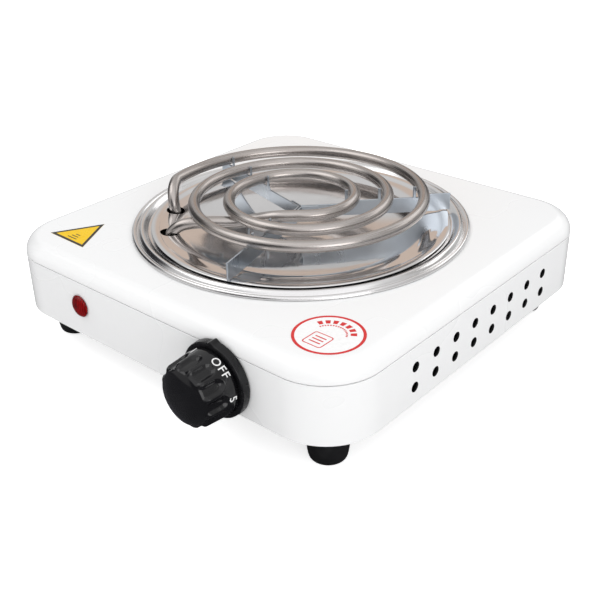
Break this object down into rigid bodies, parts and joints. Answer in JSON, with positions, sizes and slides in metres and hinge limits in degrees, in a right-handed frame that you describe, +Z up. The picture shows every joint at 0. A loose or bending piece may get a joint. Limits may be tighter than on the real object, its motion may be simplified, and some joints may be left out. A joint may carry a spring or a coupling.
{
  "type": "electric hot plate",
  "caption": "Electric hot plate: white square housing, spiral heating tube over a chrome drip pan, front thermostat knob and red pilot lamp, rubber feet.",
  "frame": {"origin": "centre of the bounding box, on the surface that the feet stand on", "axes": "+Z up, front with the knob towards -Y, +X to the right seen from the front"},
  "size_m": [0.228, 0.2522, 0.0763],
  "materials": {
    "white_enamel": "glossy white stove enamel",
    "chrome": "bright chrome plate",
    "nickel_sheath": "satin nickel-steel heating tube",
    "zinc_plate": "zinc-plated sheet steel",
    "steel": "plain steel hardware",
    "brass": "machined brass",
    "black_gloss_plastic": "glossy black thermoset",
    "black_plastic": "satin black plastic",
    "white_plastic": "white plastic",
    "red_lens": "deep red translucent lens",
    "black_rubber": "matt black rubber",
    "ceramic": "unglazed steatite",
    "wire_sleeve": "woven glass-fibre sleeve"
  },
  "bodies": {
    "chassis": {"base_screw_front": "steel", "base_screw_left": "steel", "base_screw_rear": "steel", "base_screw_right": "steel", "bimetal_strip": "steel", "bottom_plate": "zinc_plate", "coil_bracket": "zinc_plate", "contact_leaf_fixed": "brass", "contact_leaf_moving": "brass", "cord_gland": "black_rubber", "drip_pan": "chrome", "earth_screw": "brass", "foot_front_left": "black_rubber", "foot_front_right": "black_rubber", "foot_nut_front_left": "steel", "foot_nut_front_right": "steel", "foot_nut_rear_left": "steel", "foot_nut_rear_right": "steel", "foot_rear_left": "black_rubber", "foot_rear_right": "black_rubber", "foot_screw_front_left": "steel", "foot_screw_front_right": "steel", "foot_screw_rear_left": "steel", "foot_screw_rear_right": "steel", "heating_coil": "nickel_sheath", "knob_bezel": "black_plastic", "lamp_body": "white_plastic", "lamp_clip": "steel", "lamp_lens": "red_lens", "side_wall": "white_enamel", "support_arm_front": "zinc_plate", "support_arm_rear_left": "zinc_plate", "support_arm_right": "zinc_plate", "terminal_block": "ceramic", "terminal_bush_inner": "ceramic", "terminal_bush_outer": "ceramic", "terminal_pin_inner": "steel", "terminal_pin_outer": "steel", "terminal_screw_live": "brass", "terminal_screw_neutral": "brass", "thermostat_bush": "brass", "thermostat_frame": "zinc_plate", "thermostat_nut": "brass", "thermostat_stack": "ceramic", "top_cover": "white_enamel", "trim_ring": "chrome", "wire_coil": "wire_sleeve", "wire_lamp": "wire_sleeve", "wire_live": "wire_sleeve", "wire_neutral": "wire_sleeve"},
    "knob": {"control_knob": "black_gloss_plastic", "knob_spring": "steel", "thermostat_shaft": "steel"},
    "pin": {"thermostat_pin": "ceramic"}
  },
  "joints": [
    {"name": "knob_turn", "type": "hinge", "parent": "chassis", "child": "knob", "pos_m": [0.048, -0.1005, 0.0364], "axis": [0, 1, 0], "range_deg": [-36, 264]},
    {"name": "pin_push", "type": "slide", "parent": "chassis", "child": "pin", "axis": [0, 1, 0], "range_m": [-0.0001, 0.0007]}
  ],
  "couplings": [
    {"joint": "pin_push", "follows": "knob_turn", "m_per_rad": 0.00015}
  ]
}
